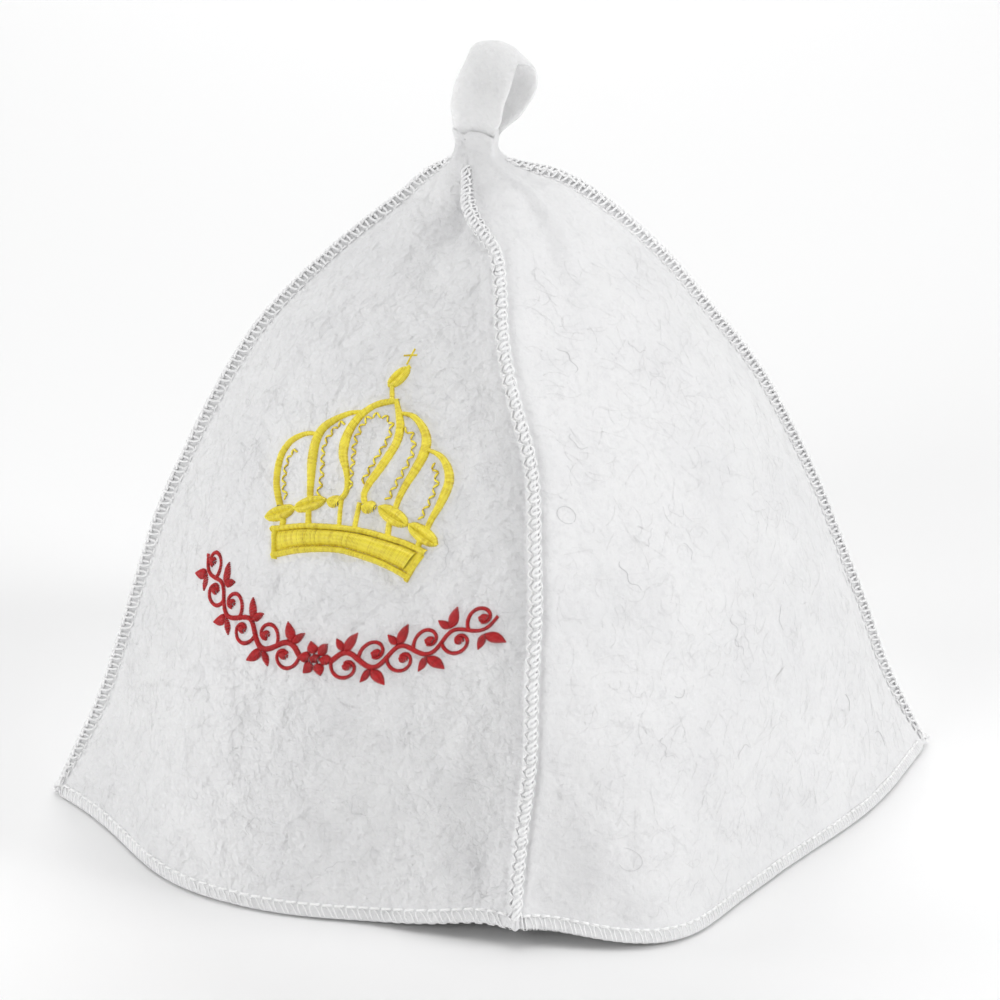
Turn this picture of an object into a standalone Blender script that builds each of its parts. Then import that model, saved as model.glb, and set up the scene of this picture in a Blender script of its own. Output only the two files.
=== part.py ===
# Felt sauna hat: four gores sewn with outward seams, and a felt hanging loop in the tip.
# Metres, +Z up. The hem stands on Z = 0, the front seam looks along -Y.

from collections import namedtuple
import math

import bpy
import bmesh
import numpy as np

MM = 0.001

# Felt and seams
FELT = 2.2 * MM            # wall of a gore
FIN_FELT = 1.6 * MM        # one layer of felt where the overlock stitch squeezes it
SEAM_GAP = 0.3 * MM        # between the two layers of a seam
ROOT_EASE = 0.4 * MM       # felt swelling outwards where it turns into the seam
PINCH = 0.30               # how far a seam pulls the felt outwards, as a share of half a gore
HEM_LIFT_FADE = 40 * MM    # height over which a lifted hem settles back
FIN_REACHES = (1.0, 0.35)  # where a seam's fin has its points, as shares of how far it stands out
SLOPE_STEP = 0.5 * MM      # height step over which the slope of the wall is taken
CREASE_ANGLE = 50          # degrees past which an edge is shaded sharp

# Hanging loop
LOOP_FELT = 2.1 * MM
LOOP_TURN = -30.0          # degrees the loop is turned about +Z, 0 has its hole along X
LOOP_FOOT = -4.8 * MM      # X of the neck
LOOP_STEPS = 33            # stations along the strip

# Sections of the crown from the hem to the tip, in mm.
# seam: radius where the felt turns into a seam.  middle: radius halfway between two seams.
# fin: how far a seam stands out, square to the felt.  lean: X of the section's centre.
# twist: degrees that the whole section is turned about +Z.
Section = namedtuple("Section", "height seam middle fin lean twist")
SECTIONS = (
    Section(0, 131.0, 113.4, 1.2, 1.2, 0),
    Section(10, 124.2, 110.6, 3.0, 1.0, 0),
    Section(26, 116.0, 107.0, 3.6, 1.0, 0),
    Section(46, 108.8, 102.5, 3.6, 1.0, 0),
    Section(66, 101.8, 96.5, 3.6, 0.2, 0),
    Section(86, 94.5, 89.5, 3.6, -0.5, 0),
    Section(105, 85.4, 81.0, 3.6, -0.6, -1),
    Section(124, 75.0, 70.5, 3.6, -0.8, -2),
    Section(142, 61.9, 57.0, 3.6, -1.4, -4),
    Section(161, 44.2, 39.2, 3.5, 0.9, -8),
    Section(179, 23.0, 19.8, 3.2, 1.5, -13),
    Section(187, 13.6, 12.0, 2.2, -1.6, -15),
    Section(190, 10.9, 10.2, 1.4, -3.2, -16),
    Section(193, 9.2, 9.1, 0.7, -4.5, -16),
)

# Where the mesh has its rows, in mm above the hem
ROWS = (
    0, 3, 8, 15, 24, 35, 47, 60, 74, 88, 101, 113,
    124, 134, 143, 152, 160, 168, 175, 181, 185, 188, 190.5, 193,
)

# Where the mesh has its columns, as shares of the way from one seam to the next
COLUMNS = (
    0, 0.03, 0.07, 0.12, 0.175, 0.235, 0.30, 0.38, 0.46,
    0.54, 0.62, 0.70, 0.765, 0.825, 0.88, 0.93, 0.97, 1,
)

# How far each seam strays sideways from its straight line, in mm, + towards larger angles
Sway = namedtuple("Sway", "height front right back left")
SWAYS = (
    Sway(0, -12, 0, 2, 0),
    Sway(25, -8.5, 0, 1.5, 0),
    Sway(50, -5, 0, 1, 0),
    Sway(75, -2.5, 0, 0, 0),
    Sway(100, 1, 0, -1, 0),
    Sway(125, 3.2, 0, -1, 0),
    Sway(142, 2.0, 0, 0, 0),
    Sway(156, 1.0, 0, 0.5, 0),
    Sway(164, 1.4, 0, 0.5, 0),
    Sway(171, 0.6, 0, 0.5, 0),
    Sway(181, -4.4, 0, 0, 0),
    Sway(193, 0, 0, 0, 0),
)

# Waves of the hem, dents and the folds under the tip. angle and spread are in degrees about +Z.
# push (outwards), lift (of the hem), height and reach (where it is strongest, how far it goes) are in mm.
Fold = namedtuple("Fold", "angle spread push lift height reach")
FOLDS = {
    "front corner drawn in": Fold(-95.5, 10, -13.0, 0, 0, 42),
    "front corner off the floor": Fold(-96, 14, 0, 5.4, 0, 40),
    "wave right of the front seam": Fold(-74, 10, 7.0, 0, 0, 42),
    "valley left of the front seam": Fold(-113, 14, -8.5, 0, 0, 50),
    "flat right side": Fold(-42, 22, -7.4, 0, 0, 60),
    "full left side": Fold(-147, 16, 5.6, 0, 0, 65),
    "wave in the back left": Fold(126, 17, 5.0, 0, 0, 50),
    "hollow in the back right": Fold(58, 17, -5.0, 0, 0, 55),
    "hollow beside the front seam": Fold(-112, 14, -2.6, 0, 95, 55),
    "hollow right of the tip": Fold(-72, 9, -1.6, 0, 172, 16),
    "ridge right of the tip": Fold(-58, 8, 1.8, 0, 172, 18),
    "second hollow right of the tip": Fold(-40, 9, -1.7, 0, 166, 16),
    "hollow left of the tip": Fold(-132, 20, -3.6, 0, 168, 24),
    "ridge behind the tip": Fold(60, 9, 1.5, 0, 170, 18),
    "hollow behind the tip": Fold(128, 16, -2.0, 0, 168, 20),
}

SEAM_ANGLE = {"front": -90.0, "right": 0.0, "back": 90.0, "left": 180.0}
GORES = {
    "front_right_panel": ("front", "right"),
    "back_right_panel": ("right", "back"),
    "back_left_panel": ("back", "left"),
    "front_left_panel": ("left", "front"),
}

# The strip of the hanging loop from one buried end to the other, in mm.
# depth: across the loop.  height: above the hem.  shift: sideways lean.  width: of the strip.
# cup: how far its edges curl into the loop.  tilt: degrees that the strip rolls down to its right edge.
Strip = namedtuple("Strip", "depth height shift width cup tilt")
STRIP = (
    Strip(-1.30, 184.0, 0.0, 9.2, 0.0, 0),
    Strip(-1.30, 188.8, 0.0, 9.6, 0.0, 0),
    Strip(-1.35, 193.2, 0.0, 10.4, 0.0, 0),
    Strip(-2.4, 197.0, 0.4, 11.6, 0.1, 0),
    Strip(-4.8, 200.8, 1.6, 13.4, 0.4, 0),
    Strip(-7.6, 205.2, 3.3, 15.0, 0.7, -1),
    Strip(-9.0, 210.6, 5.1, 15.8, 1.0, -3),
    Strip(-8.4, 216.0, 6.3, 15.6, 1.8, -6),
    Strip(-5.0, 220.3, 6.5, 14.6, 2.6, -10),
    Strip(0.0, 222.1, 6.5, 14.2, 3.0, -13),
    Strip(5.2, 219.8, 6.8, 14.8, 2.8, -13),
    Strip(8.8, 214.8, 7.2, 15.8, 1.8, -8),
    Strip(9.2, 208.8, 6.4, 16.2, 1.0, -4),
    Strip(7.4, 204.0, 4.4, 15.0, 0.6, -2),
    Strip(4.6, 200.2, 1.9, 13.2, 0.4, 0),
    Strip(2.4, 196.8, 0.4, 11.6, 0.1, 0),
    Strip(1.35, 193.2, 0.0, 10.4, 0.0, 0),
    Strip(1.30, 188.8, 0.0, 9.6, 0.0, 0),
    Strip(1.30, 184.0, 0.0, 9.2, 0.0, 0),
)

# Outline of the strip's cut end: share of half the width, share of half the felt
STRIP_RING = (
    (-1, -0.55), (-1, 0.55), (-0.88, 1), (-0.5, 1), (0, 1), (0.5, 1), (0.88, 1),
    (1, 0.55), (1, -0.55), (0.88, -1), (0.5, -1), (0, -1), (-0.5, -1), (-0.88, -1),
)

WHITE_FELT = (0.86, 0.86, 0.86, 1.0)


def remove_old_objects():
    for old in list(bpy.data.objects):
        bpy.data.objects.remove(old, do_unlink=True)


def felt_material(name):
    material = bpy.data.materials.new(name)
    material.use_nodes = True
    shader = material.node_tree.nodes["Principled BSDF"]
    shader.inputs["Base Color"].default_value = WHITE_FELT
    shader.inputs["Roughness"].default_value = 0.95
    shader.inputs["Metallic"].default_value = 0.0
    return material


def curve_through(places, values, at):
    """Smooth curve through the rows of a table: cubic pieces whose slopes are those of the neighbours."""
    places = np.asarray(places, float)
    values = np.asarray(values, float)
    slopes = np.gradient(values, places)
    row = np.clip(np.searchsorted(places, at) - 1, 0, len(places) - 2)
    span = places[row + 1] - places[row]
    t = (at - places[row]) / span
    start = (1 + 2 * t) * (1 - t) ** 2 * values[row] + t * (1 - t) ** 2 * span * slopes[row]
    end = t * t * (3 - 2 * t) * values[row + 1] + t * t * (t - 1) * span * slopes[row + 1]
    return start + end


def table_value(table, column, height):
    """A column of SECTIONS or SWAYS at a height in metres, in the table's own unit."""
    heights = [row.height for row in table]
    values = [getattr(row, column) for row in table]
    return curve_through(heights, values, height / MM)


def bump(fold, angle):
    """How strongly a fold is felt at an angle: 1 in its middle, fading as a bell curve."""
    away = (angle - fold.angle + 180.0) % 360.0 - 180.0
    return np.exp(-((away / fold.spread) ** 2))


def fold_push(angle, height):
    """Outward push of all folds at an angle and a height."""
    total = np.zeros(np.broadcast(angle, height).shape)
    for fold in FOLDS.values():
        fade = np.exp(-(((height / MM - fold.height) / fold.reach) ** 2))
        total = total + fold.push * MM * bump(fold, angle) * fade
    return total


def hem_lift(angle, height):
    """How far the hem is off the floor, fading out up the wall."""
    total = np.zeros(np.broadcast(angle, height).shape)
    for fold in FOLDS.values():
        total = total + fold.lift * MM * bump(fold, angle)
    return total * np.exp(-height / HEM_LIFT_FADE)


def seam_angle(seam, height):
    """Angle of a seam at a height, in degrees, with the section's twist and the seam's own sway."""
    radius = table_value(SECTIONS, "seam", height)
    sway = table_value(SWAYS, seam, height)
    return SEAM_ANGLE[seam] + table_value(SECTIONS, "twist", height) + np.degrees(sway / radius)


def wall_slope(height):
    """Factor by which the sloping wall lengthens a horizontal cut through it."""
    above = table_value(SECTIONS, "seam", height + SLOPE_STEP)
    below = table_value(SECTIONS, "seam", height - SLOPE_STEP)
    return np.hypot(1.0, (above - below) * MM / (2 * SLOPE_STEP))


def wall_radius(share, angle, height):
    """Outer radius of the felt: the middle radius, drawn out towards each seam, plus the folds."""
    seam = table_value(SECTIONS, "seam", height) * MM
    middle = table_value(SECTIONS, "middle", height) * MM
    to_seam = np.minimum(share, 1 - share) * 2
    floor_value = math.exp(-1 / PINCH)
    pull = (np.exp(-to_seam / PINCH) - floor_value) / (1 - floor_value)
    return middle + (seam - middle) * pull + fold_push(angle, height)


def gore_surfaces(first, last):
    """Outer and inner faces of a gore as grids of points, a row for each height.

    Across, a row runs from the tip of the first seam's fin, along the fin to its root, over the panel,
    and out along the fin of the last seam.
    """
    height = np.array(ROWS)[:, None] * MM
    start = seam_angle(first, height)
    end = seam_angle(last, height)
    end = start + (end - start) % 360.0
    slope = wall_slope(height)
    wall = FELT * slope
    fin = table_value(SECTIONS, "fin", height) * MM * slope
    seam_radius = table_value(SECTIONS, "seam", height) * MM
    inset = np.degrees((SEAM_GAP / 2 + FIN_FELT + ROOT_EASE) / seam_radius)

    share = np.array(COLUMNS)[None, :]
    angle = start + inset + (end - start - 2 * inset) * share
    outer_radius = wall_radius(share, angle, height)
    turn = np.gradient(outer_radius, axis=1) / np.gradient(np.radians(angle), axis=1) / outer_radius
    inner_radius = outer_radius - wall * np.hypot(1.0, turn)

    def place(radius, at_angle, aside):
        """Point at a radius and an angle, moved aside square to that direction."""
        turned = np.radians(at_angle)
        lean = table_value(SECTIONS, "lean", height) * MM
        x = lean + radius * np.cos(turned) - aside * np.sin(turned)
        y = radius * np.sin(turned) + aside * np.cos(turned)
        z = height + hem_lift(at_angle, height)
        return np.stack(np.broadcast_arrays(x, y, z), axis=-1)

    near_face = SEAM_GAP / 2
    far_face = SEAM_GAP / 2 + FIN_FELT
    columns = {"outer": [], "inner": []}
    for at_angle, side, column in ((start, 1, 0), (end, -1, -1)):
        root = outer_radius[:, [column]]
        outer = [place(root + fin * reach, at_angle, side * far_face) for reach in FIN_REACHES]
        inner = [place(root + fin * reach, at_angle, side * near_face) for reach in FIN_REACHES]
        inner.append(place(root - wall, at_angle, side * near_face))
        columns["outer"].append(outer)
        columns["inner"].append(inner)

    outer = columns["outer"][0] + [place(outer_radius, angle, 0)] + columns["outer"][1][::-1]
    inner_panel = place(inner_radius[:, 1:-1], angle[:, 1:-1], 0)
    inner = columns["inner"][0] + [inner_panel] + columns["inner"][1][::-1]
    return np.concatenate(outer, axis=1), np.concatenate(inner, axis=1)


def shell_mesh(name, outer, inner):
    """Closed wall between two grids of points of the same shape."""
    rows, columns = outer.shape[:2]
    points = np.concatenate([outer.reshape(-1, 3), inner.reshape(-1, 3)])
    index = np.arange(2 * rows * columns).reshape(2, rows, columns)

    def quads(grid, flip):
        a, b, c, d = grid[:-1, :-1], grid[:-1, 1:], grid[1:, 1:], grid[1:, :-1]
        corners = (a, d, c, b) if flip else (a, b, c, d)
        return np.stack(corners, axis=-1).reshape(-1, 4)

    faces = [quads(index[0], False), quads(index[1], True)]
    for edge in (index[:, 0, ::-1], index[:, -1, :], index[:, :, 0], index[:, ::-1, -1]):
        faces.append(quads(edge, False))
    mesh = bpy.data.meshes.new(name)
    mesh.from_pydata(points.tolist(), [], np.concatenate(faces).tolist())
    return mesh


def loop_mesh(name):
    """Felt strip carried along the loop's path, with rounded edges and a width that changes."""
    stations = np.linspace(0, len(STRIP) - 1, LOOP_STEPS)
    rows = np.arange(len(STRIP))
    column = {key: curve_through(rows, [getattr(row, key) for row in STRIP], stations) for key in Strip._fields}

    turn = math.radians(LOOP_TURN)
    across = np.array([math.cos(turn), math.sin(turn), 0.0])
    deep = np.array([-math.sin(turn), math.cos(turn), 0.0])
    upright = np.array([0.0, 0.0, 1.0])
    foot = np.array([LOOP_FOOT, 0.0, 0.0])
    path = (foot + np.outer(column["shift"] * MM, across) + np.outer(column["depth"] * MM, deep)
            + np.outer(column["height"] * MM, upright))
    along = np.gradient(path, axis=0)
    along /= np.linalg.norm(along, axis=1, keepdims=True)
    tilt = np.radians(column["tilt"])[:, None]
    side = across * np.cos(tilt) + upright * np.sin(tilt)
    side -= along * np.sum(side * along, axis=1, keepdims=True)
    side /= np.linalg.norm(side, axis=1, keepdims=True)
    outward = np.cross(side, along)

    half = column["width"][:, None] * MM / 2
    cup = column["cup"][:, None] * MM
    rings = [path + side * half * share + outward * (rise * LOOP_FELT / 2 - cup * share * share)
             for share, rise in STRIP_RING]
    points = np.stack(rings, axis=1)

    steps, count = points.shape[:2]
    index = np.arange(steps * count).reshape(steps, count)
    closed = np.concatenate([index, index[:, :1]], axis=1)
    a, b, c, d = closed[:-1, :-1], closed[:-1, 1:], closed[1:, 1:], closed[1:, :-1]
    faces = np.stack((a, b, c, d), axis=-1).reshape(-1, 4).tolist()
    faces += [index[0, ::-1].tolist(), index[-1].tolist()]
    mesh = bpy.data.meshes.new(name)
    mesh.from_pydata(points.reshape(-1, 3).tolist(), [], faces)
    return mesh


def add_piece(name, mesh, collection):
    """Object for a finished mesh, with its faces pointing out, smooth shading and its own material."""
    work = bmesh.new()
    work.from_mesh(mesh)
    bmesh.ops.recalc_face_normals(work, faces=work.faces[:])
    work.to_mesh(mesh)
    work.free()
    mesh.shade_smooth()
    mesh.set_sharp_from_angle(angle=math.radians(CREASE_ANGLE))
    mesh.materials.append(felt_material(name + "_felt"))
    piece = bpy.data.objects.new(name, mesh)
    collection.objects.link(piece)
    return piece


def centre_on_floor(pieces):
    """Move all meshes so that the whole hat's box is centred on the origin and stands on Z = 0."""
    corners = np.array([vertex.co[:] for piece in pieces for vertex in piece.data.vertices])
    low, high = corners.min(axis=0), corners.max(axis=0)
    shift = np.array([(low[0] + high[0]) / 2, (low[1] + high[1]) / 2, low[2]])
    for piece in pieces:
        for vertex in piece.data.vertices:
            vertex.co = [value - move for value, move in zip(vertex.co, shift)]
    return shift


def build_hat():
    remove_old_objects()
    collection = bpy.data.collections.new("sauna_hat")
    bpy.context.scene.collection.children.link(collection)
    pieces = []
    for name, (first, last) in GORES.items():
        outer, inner = gore_surfaces(first, last)
        pieces.append(add_piece(name, shell_mesh(name, outer, inner), collection))
    pieces.append(add_piece("hanging_loop", loop_mesh("hanging_loop"), collection))
    shift = centre_on_floor(pieces)
    print("hat centred by", [round(value / MM, 2) for value in shift], "mm")


build_hat()
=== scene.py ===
from math import acos, atan2, cos, exp, pi, radians, sin, sqrt

import bpy
import numpy as np
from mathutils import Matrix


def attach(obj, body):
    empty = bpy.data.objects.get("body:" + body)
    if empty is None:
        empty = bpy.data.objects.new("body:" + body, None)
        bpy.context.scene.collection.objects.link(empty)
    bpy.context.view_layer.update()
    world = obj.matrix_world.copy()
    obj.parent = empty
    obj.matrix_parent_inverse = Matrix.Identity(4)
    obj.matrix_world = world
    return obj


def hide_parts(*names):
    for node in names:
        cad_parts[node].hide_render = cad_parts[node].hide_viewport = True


# Felt sauna hat: four gores with overlocked seams and hem, a hanging loop, and an embroidered front.
# Lengths in the tables are in mm, angles in degrees
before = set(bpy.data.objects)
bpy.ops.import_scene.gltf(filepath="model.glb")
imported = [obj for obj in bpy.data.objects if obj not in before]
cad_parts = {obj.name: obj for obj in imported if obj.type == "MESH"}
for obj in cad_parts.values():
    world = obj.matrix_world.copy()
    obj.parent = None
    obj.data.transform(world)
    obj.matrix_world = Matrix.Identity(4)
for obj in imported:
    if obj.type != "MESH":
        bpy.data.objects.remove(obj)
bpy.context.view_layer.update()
mm = 0.001
chance = np.random.default_rng(7)


# Shape of the crown
crown = {
    "height": (0, 10, 26, 46, 66, 86, 105, 124, 142, 161, 179, 187, 190, 193),
    "seam": (131, 124.2, 116, 108.8, 101.8, 94.5, 85.4, 75, 61.9, 44.2, 23, 13.6, 10.9, 9.2),
    "middle": (113.4, 110.6, 107, 102.5, 96.5, 89.5, 81, 70.5, 57, 39.2, 19.8, 12, 10.2, 9.1),
    "fin": (1.2, 3, 3.6, 3.6, 3.6, 3.6, 3.6, 3.6, 3.6, 3.5, 3.2, 2.2, 1.4, 0.7),
    "lean": (1.2, 1, 1, 1, 0.2, -0.5, -0.6, -0.8, -1.4, 0.9, 1.5, -1.6, -3.2, -4.5),
    "twist": (0, 0, 0, 0, 0, 0, -1, -2, -4, -8, -13, -15, -16, -16),
}
# how far each seam strays sideways
sway = {
    "height": (0, 25, 50, 75, 100, 125, 142, 156, 164, 171, 181, 188),
    "front": (-12, -8.5, -5, -2.5, 1, 3.2, 2, 1, 1.4, 0.2, -8.2, -8.2),
    "right": (0,) * 12,
    "back": (2, 1.5, 1, 0, -1, -1, 0, 0.5, 0.5, 0.5, 0, 0),
    "left": (0,) * 12,
}
# angle, spread, push outwards, lift of the hem, height, reach
folds = {
    "front corner drawn in": (-95.5, 10, -13, 0, 0, 42),
    "front corner off the floor": (-96, 14, 0, 5.4, 0, 40),
    "wave right of the front seam": (-74, 10, 7, 0, 0, 42),
    "valley left of the front seam": (-113, 14, -8.5, 0, 0, 50),
    "flat right side": (-42, 22, -7.4, 0, 0, 60),
    "full left side": (-147, 16, 5.6, 0, 0, 65),
    "wave in the back left": (126, 17, 5, 0, 0, 50),
    "hollow in the back right": (58, 17, -5, 0, 0, 55),
    "hollow beside the front seam": (-112, 14, -4, 0, 95, 55),
    "hollow right of the tip": (-72, 9, -1.6, 0, 172, 16),
    "ridge right of the tip": (-58, 8, 1.8, 0, 172, 18),
    "second hollow right of the tip": (-40, 9, -1.7, 0, 166, 16),
    "hollow left of the tip": (-132, 20, -3.6, 0, 168, 24),
    "fold left of the neck": (-139, 15, -7.6, 0, 174, 12),
    "ridge behind the tip": (60, 9, 1.5, 0, 170, 18),
    "hollow behind the tip": (128, 16, -2, 0, 168, 20),
}
seamAngles = {"front": -90, "right": 0, "back": 90, "left": 180}
gores = {
    "front_right_panel": ("front", "right"),
    "back_right_panel": ("right", "back"),
    "back_left_panel": ("back", "left"),
    "front_left_panel": ("left", "front"),
}
felt = {
    "wall": 2.2,
    "fullFin": 3.6, "finLayer": 1.6,
    "finPressed": 1.15,  # a seam's layer where the thread presses it flat
    "gap": 0.3,  # between the two layers of a seam
    "rootGroove": 0.6,  # how deep the thread draws the felt in along a seam
    "grooveReach": 1.3,
    "ease": 0.4,
    "pinch": 0.30,
    "liftFade": 40.0,
    "hemRound": 1.0,  # radius of the hem's edge
    "lipFelt": 0.9,  # felt left where the tip is gathered round the loop
}
# how far each seam tips over at its edge, counterclockwise from above
finLean = {"front": 0.1, "right": 1.8, "back": 0.0, "left": -1.5}
neck = {
    "start": 182.0, "end": 193.0,  # the tip closes round the loop between these heights
    # half its width across and through the loop, running out on the loop's legs
    "height": (183, 188, 191, 193.2, 194.6, 195.8, 196.8, 197.8),
    "across": (7.4, 6.3, 5.95, 5.9, 6.0, 6.15, 6.25, 6.3),
    "through": (4.6, 3.7, 3.15, 2.9, 3.05, 3.4, 3.72, 4.1),
    "turn": -30.0, "x": -4.8, "power": 6,
}
centre = (1.07, 5.93)  # the crown's axis lies this far from the middle of the hat's box


# Cubic pieces through the rows of a table, each end with the slope of its neighbours
def curveThrough(places, values, at):
    places = np.asarray(places, float)
    values = np.asarray(values, float)
    slopes = np.gradient(values, places)
    at = np.clip(at, places[0], places[-1])
    row = np.clip(np.searchsorted(places, at) - 1, 0, len(places) - 2)
    span = places[row + 1] - places[row]
    t = (at - places[row]) / span
    start = (1 + 2 * t) * (1 - t) ** 2 * values[row] + t * (1 - t) ** 2 * span * slopes[row]
    end = t * t * (3 - 2 * t) * values[row + 1] + t * t * (t - 1) * span * slopes[row + 1]
    return start + end


def crownAt(column, height):
    return curveThrough(crown["height"], crown[column], height)


# 0 below low, 1 above high, 3 t^2 - 2 t^3 between them
def ease(value, low, high):
    t = np.clip((value - low) / (high - low), 0, 1)
    return t * t * (3 - 2 * t)


# Sum of the folds at an angle and a height:
# size * exp(-(turn / spread)^2) * exp(-((height - at) / reach)^2)
def foldSum(part, angle, height):
    total = 0.0
    for foldAngle, spread, push, lift, at, reach in folds.values():
        away = (angle - foldAngle + 180.0) % 360.0 - 180.0
        bell = np.exp(-((away / spread) ** 2))
        if part == "push":
            total = total + push * bell * np.exp(-(((height - at) / reach) ** 2))
        else:
            total = total + lift * bell * np.exp(-height / felt["liftFade"])
    return total


def seamAngle(seam, height):
    strayed = curveThrough(sway["height"], sway[seam], height) / crownAt("seam", height)
    return seamAngles[seam] + crownAt("twist", height) + np.degrees(strayed)


def goreAngle(gore, share, height):
    first, last = gores[gore]
    start = seamAngle(first, height)
    end = start + (seamAngle(last, height) - start) % 360.0
    inset = np.degrees((felt["gap"] / 2 + felt["finLayer"] + felt["ease"]) / crownAt("seam", height))
    return start + inset + (end - start - 2 * inset) * share


# Distance from the axis to a superellipse round the loop's two legs: |c/a|^6 + |s/b|^6 = 1
def neckRadius(angle, height):
    turned = np.radians(angle - neck["turn"])
    halfAcross = curveThrough(neck["height"], neck["across"], height)
    halfThrough = curveThrough(neck["height"], neck["through"], height)
    across = np.abs(np.cos(turned) / halfAcross) ** neck["power"]
    through = np.abs(np.sin(turned) / halfThrough) ** neck["power"]
    return (across + through) ** (-1 / neck["power"])


def closing(height):
    return ease(height, neck["start"], neck["end"])


def loose(height):
    return 1 - closing(height)


# A radius on its way to the neck's: radius + (neck - radius) * closing
def gathered(radius, angle, height):
    return radius + (neckRadius(angle, height) - radius) * closing(height)


# Radius between two seams: middle + (seam - middle) * pull + folds, closing to the neck at the tip.
# pull falls off as exp(-distance to the seam / pinch)
def wallRadius(share, angle, height):
    toSeam = 2 * np.minimum(share, 1 - share)
    least = exp(-1 / felt["pinch"])
    pull = (np.exp(-toSeam / felt["pinch"]) - least) / (1 - least)
    middle = crownAt("middle", height)
    radius = middle + (crownAt("seam", height) - middle) * pull + foldSum("push", angle, height)
    return gathered(radius, angle, height)


def wallSlope(height):
    rise = crownAt("seam", height + 0.5) - crownAt("seam", height - 0.5)
    return np.hypot(1.0, rise)


# A point at a radius and an angle about the leaning axis, moved aside square to them
def place(radius, angle, aside, height):
    turned = np.radians(angle)
    lean = crownAt("lean", height)
    lean = lean + (neck["x"] - lean) * closing(height)
    x = lean + radius * np.cos(turned) - aside * np.sin(turned) - centre[0]
    y = radius * np.sin(turned) + aside * np.cos(turned) - centre[1]
    z = height + foldSum("lift", angle, height)
    return np.stack(np.broadcast_arrays(x, y, z), axis=-1)


def panelPoint(gore, share, height):
    angle = goreAngle(gore, share, height)
    return place(wallRadius(share, angle, height), angle, 0.0, height)


def unit(vectors):
    return vectors / np.maximum(np.linalg.norm(vectors, axis=-1, keepdims=True), 1e-9)


# The part of vectors that is square to a direction
def squareTo(direction, vectors):
    return unit(vectors - direction * np.sum(vectors * direction, axis=-1, keepdims=True))


# Length along paths of points, from where each starts
def lengths(paths, axis=0):
    steps = np.diff(paths, axis=axis, prepend=np.take(paths, [0], axis=axis))
    return np.cumsum(np.linalg.norm(steps, axis=-1), axis=axis)


# 0 at the start and the end of a turn, 1 halfway round
def hump(share):
    return 0.5 - 0.5 * np.cos(2 * pi * share)


# Outward normal of a panel: the cross product of two small steps on it
def panelNormal(gore, share, height):
    share = np.clip(share, 0.004, 0.996)
    height = np.maximum(height, 0.4)
    across = panelPoint(gore, share + 0.003, height) - panelPoint(gore, share - 0.003, height)
    up = panelPoint(gore, share, height + 0.3) - panelPoint(gore, share, height - 0.3)
    return unit(np.cross(across, up))


def addObject(name, data):
    made = bpy.data.objects.new(name, data)
    bpy.context.scene.collection.objects.link(made)
    return made


# Mesh from arrays: faces in groups of one width, uv with a row for each vertex
def meshPiece(name, points, faceGroups, material, uv):
    mesh = bpy.data.meshes.new(name)
    corners = np.concatenate([group.reshape(-1) for group in faceGroups]).astype(np.int32)
    widths = np.concatenate([np.full(len(group), group.shape[1]) for group in faceGroups])
    starts = (np.cumsum(widths) - widths).astype(np.int32)
    mesh.vertices.add(len(points))
    mesh.vertices.foreach_set("co", (points * mm).astype(np.float32).ravel())
    mesh.loops.add(len(corners))
    mesh.loops.foreach_set("vertex_index", corners)
    mesh.polygons.add(len(widths))
    mesh.polygons.foreach_set("loop_start", starts)
    mesh.update(calc_edges=True)
    mesh.shade_smooth()
    layer = mesh.uv_layers.new(name="surfaceMap")
    layer.data.foreach_set("uv", uv[corners].astype(np.float32).ravel())
    mesh.materials.append(material)
    piece = addObject(name, mesh)
    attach(piece, "root")
    print(name, "has", int((widths - 2).sum()), "triangles")
    return piece


# Quads of a grid of vertex numbers
def gridFaces(grid):
    a, b, c, d = grid[:-1, :-1], grid[:-1, 1:], grid[1:, 1:], grid[1:, :-1]
    return np.stack((a, b, c, d), axis=-1).reshape(-1, 4)


# Round tubes along strands x points x 3 paths: ring point = path + radius * (side * cos a + up * sin a),
# side = along x guide. The map's u is the distance to the strand's nearer end. Its v is 0 on top of the
# strand and 0.9 under it, plus a whole number from 0 to 9 for the strand
def tubes(paths, radius, sides, guide):
    strands, count = paths.shape[:2]
    along = unit(np.gradient(paths, axis=1))
    side = unit(np.cross(along, np.broadcast_to(guide, paths.shape)) + 1e-6)
    up = np.cross(side, along)
    turn = np.linspace(0, 2 * pi, sides, endpoint=False) + pi / 2
    radius = np.broadcast_to(radius, (strands, count))[..., None, None]
    ring = side[..., None, :] * np.cos(turn)[:, None] + up[..., None, :] * np.sin(turn)[:, None]
    points = paths[..., None, :] + ring * radius
    index = np.arange(strands * count * sides).reshape(strands, count, sides)
    closed = np.concatenate([index, index[..., :1]], axis=-1)
    a, b = closed[:, :-1, :-1], closed[:, :-1, 1:]
    c, d = closed[:, 1:, 1:], closed[:, 1:, :-1]
    walls = np.stack((a, d, c, b), axis=-1).reshape(-1, 4)
    caps = np.concatenate([index[:, 0, :], index[:, -1, ::-1]])
    fromStart = lengths(paths, 1)
    fromEnd = np.minimum(fromStart, fromStart[:, -1:] - fromStart)
    u = np.broadcast_to(fromEnd[..., None], index.shape)
    v = 0.9 * (0.5 - 0.5 * np.sin(turn)) + chance.integers(0, 10, (strands, 1, 1))
    uv = np.stack((u, np.broadcast_to(v, index.shape)), axis=-1)
    return points.reshape(-1, 3), [walls, caps], uv.reshape(-1, 2)


# Several results of tubes as one piece
def strandPiece(name, parts, material, fromSeam=0.0):
    faces, first = [], 0
    for points, groups, _ in parts:
        faces += [group + first for group in groups]
        first += len(points)
    points, uv = (np.concatenate([part[which] for part in parts]) for which in (0, 2))
    meshPiece(name, points, faces, material, uv + fromSeam)


# A socket's value in an expression
class Value:
    def __init__(self, shader, socket):
        self.shader = shader
        self.socket = socket

    def __abs__(self):
        return self.shader.math("ABSOLUTE", self)


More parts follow.
